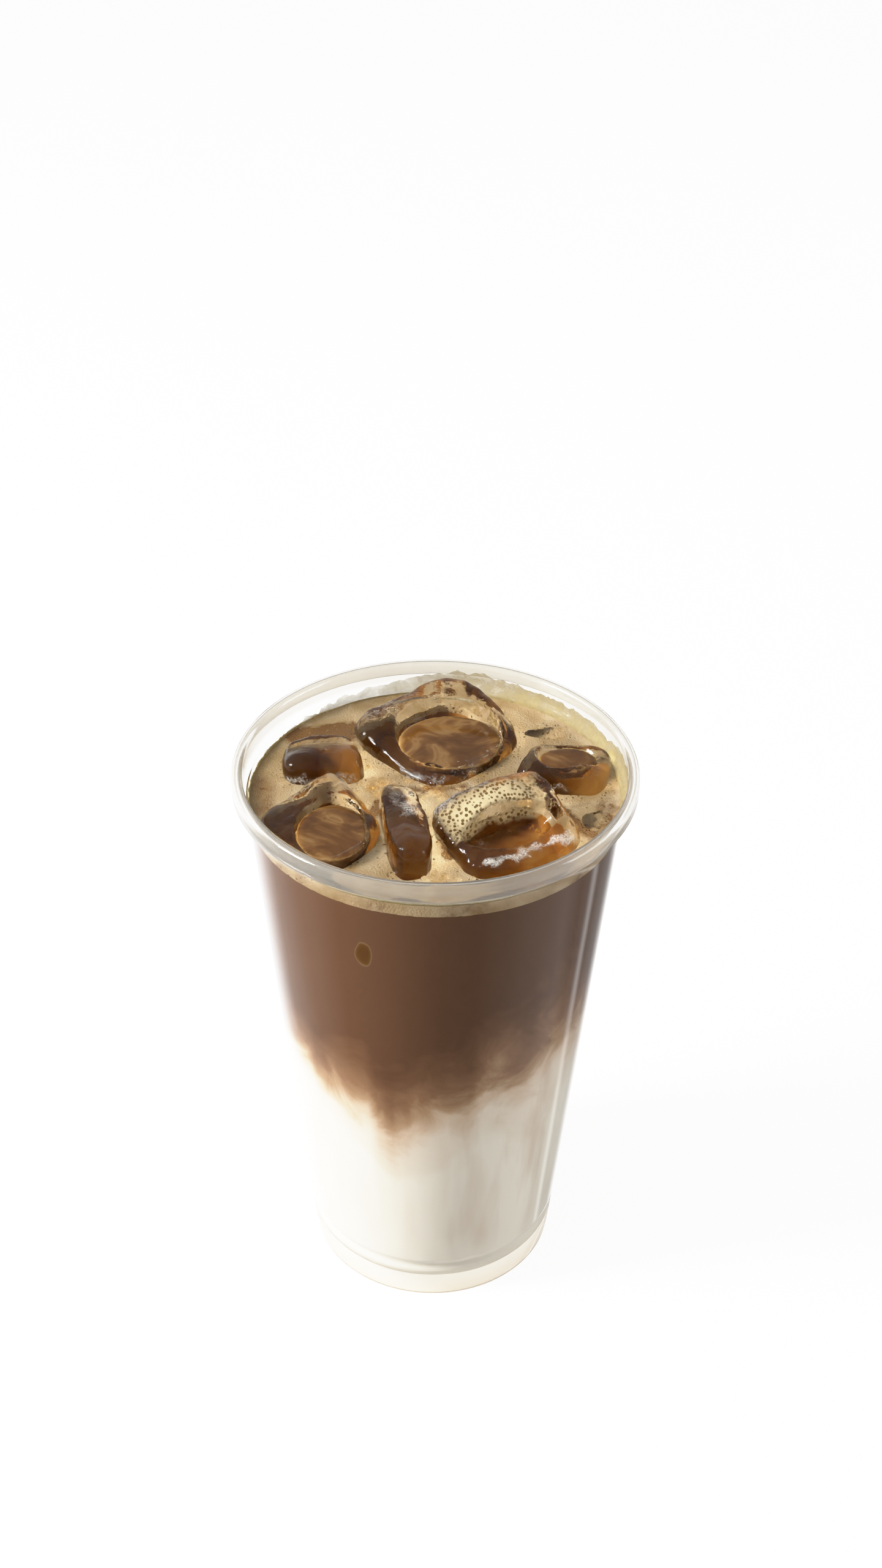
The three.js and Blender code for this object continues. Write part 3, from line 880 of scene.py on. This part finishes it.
# Stage: a white table that mirrors don't show, a plain white backdrop, a soft sky that is brightest at the left, a
# lamp at the left and a weak one at the right
floor_shape = bmesh.new()
bmesh.ops.create_grid(floor_shape, x_segments=1, y_segments=1, size=TABLE_HALF)
floor = bpy.data.objects.new("table", bpy.data.meshes.new("table"))
floor_shape.to_mesh(floor.data)
floor.data.materials.append(table_material())
floor.visible_glossy = False
bpy.context.scene.collection.objects.link(floor)

scene = bpy.context.scene
scene.view_settings.view_transform = "Standard"
# The brightest tones are eased, as in a photograph, so that white milk still shows its roundness.
scene.view_settings.use_curve_mapping = True
tones = scene.view_settings.curve_mapping
tones.white_level = (2, 2, 2)
for bright, shown in ((0.275, 0.55), (0.35, 0.68), (0.425, 0.79), (0.5, 0.87), (0.65, 0.945), (0.8, 0.98)):
    tones.curves[3].points.new(bright, shown)
tones.update()
world = bpy.data.worlds.new("studio")
world.use_nodes = True
sky = world.node_tree
sky.nodes.clear()
way = node(sky, "SeparateXYZ", {0: node(sky, "TexCoord").outputs["Generated"]})
turn = node(sky, "Math", {0: way.outputs["Y"], 1: way.outputs["X"]}, operation="ARCTAN2")
round_share = node(sky, "MapRange", {"Value": turn, "From Min": -math.pi, "From Max": math.pi})
low_sky = node(sky, "ValToRGB", {"Fac": round_share}, stops=(
    (0.0, "#6a6a6a"), (0.06, "#292929"), (0.25, "#292929"), (0.34, "#3c3c3c"), (0.43, "#707070"), (0.52, "#868686"),
    (0.56, "#5c5c5c"), (0.585, "#6a6a6a"), (0.6, "#c4c4c4"), (0.615, "#606060"), (0.66, "#747474"), (0.70, "#c2c2c2"),
    (0.75, "#d8d8d8"), (0.81, "#f4f4f4"), (0.85, "#e8e8e8"), (0.90, "#a0a0a0"), (0.98, "#727272"), (1.0, "#6a6a6a"),
))
high_sky = node(sky, "ValToRGB", {"Fac": round_share}, stops=(
    (0.0, "#b4b4b4"), (0.25, "#8c8c8c"), (0.5, "#808080"), (0.75, "#8c8c8c"), (1.0, "#b4b4b4"),
))
upward = node(sky, "MapRange", {"Value": way.outputs["Z"], "From Min": -0.05, "From Max": 0.05})
light = node(sky, "Mix", {"Factor": upward, "A": low_sky, "B": high_sky}, data_type="RGBA")
shine = node(sky, "Background", {"Color": light.outputs["Result"], "Strength": 2.2})
backdrop = node(sky, "Background", {"Color": linear("#ffffff"), "Strength": 1.8})
straight = node(sky, "LightPath").outputs["Is Camera Ray"]
node(sky, "OutputWorld", {"Surface": node(sky, "MixShader", {0: straight, 1: shine, 2: backdrop})})
scene.world = world


def lamp(name, at, aim, size, power):
    """A square lamp at a place in metres, turned to shine at another."""
    light = bpy.data.lights.new(name, "AREA")
    light.size = size
    light.energy = power
    made = bpy.data.objects.new(name, light)
    made.location = at
    made.rotation_euler = (Vector(aim) - Vector(at)).to_track_quat("-Z", "Y").to_euler()
    scene.collection.objects.link(made)


lamp("key", (-0.9, -0.18, 0.6), (0, 0, 0.1), 0.3, 22)
lamp("fill", (0.9, -0.1, 0.3), (0, 0, 0.05), 0.5, 3)

eye = bpy.data.cameras.new("camera")
eye.sensor_width = SENSOR
eye.lens = SENSOR * FOCAL_PIXELS / PHOTO_HEIGHT
eye.clip_start = 0.01
camera = bpy.data.objects.new("camera", eye)
camera.matrix_world = (
    Matrix.Translation(Vector(CAMERA_AT) * MM)
    @ Matrix.Rotation(math.radians(-CAMERA_YAW), 4, "Z")
    @ Matrix.Rotation(math.radians(90 - CAMERA_PITCH), 4, "X")
    @ Matrix.Rotation(math.radians(CAMERA_ROLL), 4, "Z")
)
scene.collection.objects.link(camera)
scene.camera = camera
